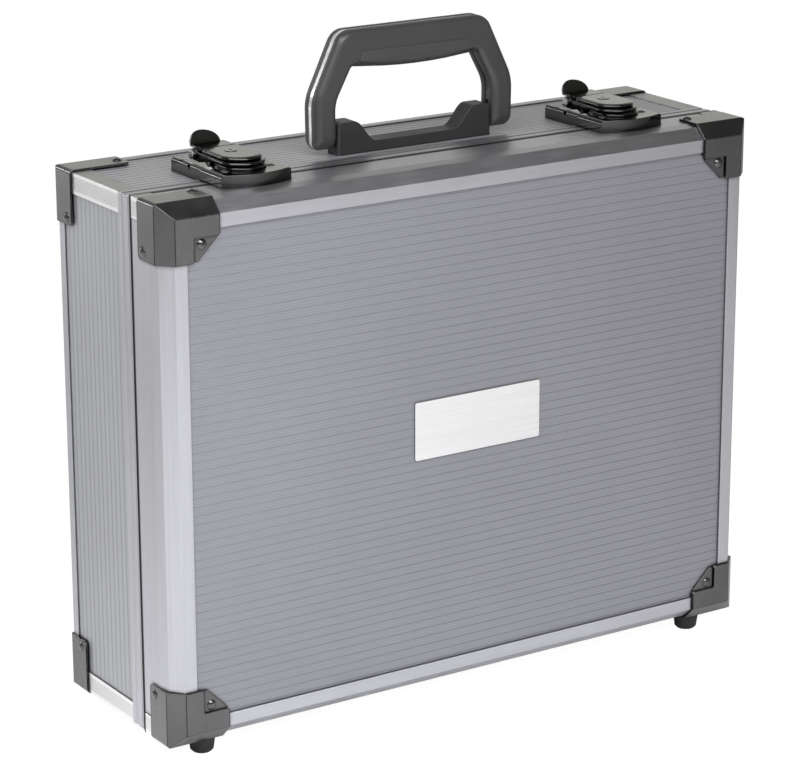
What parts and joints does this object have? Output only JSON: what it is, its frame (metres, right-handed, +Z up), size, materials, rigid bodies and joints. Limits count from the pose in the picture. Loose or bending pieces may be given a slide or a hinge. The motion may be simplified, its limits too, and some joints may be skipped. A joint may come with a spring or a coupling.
{
  "type": "tool case",
  "caption": "Hard aluminium-framed tool case, stood on its hinged edge: fluted shell and lid, capped corners, folding carrying handle and two keyed draw latches",
  "frame": {"origin": "centre of the case's bounding box, on the ground under its feet", "axes": "+X to the right along the width as the lid is faced, +Y from the lid through to the body's back, +Z up toward the handle"},
  "size_m": [0.4662, 0.1438, 0.452],
  "materials": {
    "profile_aluminium": "satin anodised",
    "front_sheet": "fine fluted, satin",
    "side_sheet": "fine fluted, satin",
    "corner_cap": "gunmetal gloss",
    "rivet": "dark plated domes",
    "latch_metal": "black nickel plated",
    "steel_pin": "bright turned steel",
    "name_plate": "bare brushed",
    "handle_plastic": "satin moulded",
    "handle_strip": "light satin strip",
    "grip_pad": "soft satin",
    "foot_rubber": "matt moulded",
    "hinge_steel": "plated",
    "edge_angle": "knurled satin"
  },
  "bodies": {
    "body_shell": {"body_back_panel": "side_sheet", "body_top_panel": "side_sheet", "body_bottom_panel": "side_sheet", "body_left_panel": "side_sheet", "body_right_panel": "side_sheet", "rear_rail_left": "profile_aluminium", "rear_rail_right": "profile_aluminium", "rear_rail_top": "profile_aluminium", "rear_rail_bottom": "profile_aluminium", "rim_left": "profile_aluminium", "rim_right": "profile_aluminium", "rim_top": "profile_aluminium", "rim_bottom": "profile_aluminium", "body_edge_angles": "edge_angle", "rear_cap_upper_left": "corner_cap", "rear_cap_upper_right": "corner_cap", "rear_cap_lower_left": "corner_cap", "rear_cap_lower_right": "corner_cap", "rear_cap_rivets": "rivet", "body_feet": "foot_rubber", "handle_base": "handle_plastic", "handle_pins": "steel_pin", "hinge_body_leaves": "hinge_steel", "hinge_pins": "steel_pin", "latch_base_left": "latch_metal", "latch_base_right": "latch_metal", "latch_base_rivets": "rivet", "lever_pivot_pins": "steel_pin"},
    "lid": {"lid_rail_left": "profile_aluminium", "lid_rail_right": "profile_aluminium", "lid_rail_top": "profile_aluminium", "lid_rail_bottom": "profile_aluminium", "lid_panel": "front_sheet", "name_plate": "name_plate", "lid_cap_upper_left": "corner_cap", "lid_cap_upper_right": "corner_cap", "lid_cap_lower_left": "corner_cap", "lid_cap_lower_right": "corner_cap", "lid_cap_rivets": "rivet", "lid_edge_angles": "edge_angle", "lid_feet": "foot_rubber", "hinge_lid_leaves": "hinge_steel", "catch_plate_left": "latch_metal", "catch_plate_right": "latch_metal", "catch_rivets": "rivet"},
    "handle": {"handle_shell_front": "handle_plastic", "handle_shell_back": "handle_plastic", "handle_core": "handle_strip", "handle_grip_pad": "grip_pad"},
    "lever_left": {"lever_left": "latch_metal", "hasp_bolt_left": "steel_pin"},
    "hasp_left": {"hasp_left": "latch_metal", "key_plate_left": "latch_metal"},
    "key_left": {"key_cylinder_left": "steel_pin"},
    "lever_right": {"lever_right": "latch_metal", "hasp_bolt_right": "steel_pin"},
    "hasp_right": {"hasp_right": "latch_metal", "key_plate_right": "latch_metal"},
    "key_right": {"key_cylinder_right": "steel_pin"}
  },
  "joints": [
    {"name": "lid_hinge", "type": "hinge", "parent": "body_shell", "child": "lid", "pos_m": [0, -0.0295, 0.0098], "axis": [1, 0, 0], "range_deg": [0, 95]},
    {"name": "handle_pivot", "type": "hinge", "parent": "body_shell", "child": "handle", "pos_m": [0, 0.0054, 0.383], "axis": [1, 0, 0], "range_deg": [-85, 85]},
    {"name": "lever_pivot_left", "type": "hinge", "parent": "body_shell", "child": "lever_left", "pos_m": [-0.1475, -0.0015, 0.377], "axis": [1, 0, 0], "range_deg": [0, 95]},
    {"name": "hasp_pivot_left", "type": "hinge", "parent": "lever_left", "child": "hasp_left", "pos_m": [-0.1475, 0.01, 0.3818], "axis": [1, 0, 0], "range_deg": [-105, 0]},
    {"name": "key_turn_left", "type": "hinge", "parent": "hasp_left", "child": "key_left", "pos_m": [-0.1475, -0.012, 0.385], "axis": [0, 0, 1], "range_deg": [0, 90]},
    {"name": "lever_pivot_right", "type": "hinge", "parent": "body_shell", "child": "lever_right", "pos_m": [0.1475, -0.0015, 0.377], "axis": [1, 0, 0], "range_deg": [0, 95]},
    {"name": "hasp_pivot_right", "type": "hinge", "parent": "lever_right", "child": "hasp_right", "pos_m": [0.1475, 0.01, 0.3818], "axis": [1, 0, 0], "range_deg": [-105, 0]},
    {"name": "key_turn_right", "type": "hinge", "parent": "hasp_right", "child": "key_right", "pos_m": [0.1475, -0.012, 0.385], "axis": [0, 0, 1], "range_deg": [0, 90]}
  ],
  "couplings": [
    {"joint": "hasp_pivot_left", "follows": "lever_pivot_left", "ratio": -1.1},
    {"joint": "hasp_pivot_right", "follows": "lever_pivot_right", "ratio": -1.1}
  ]
}
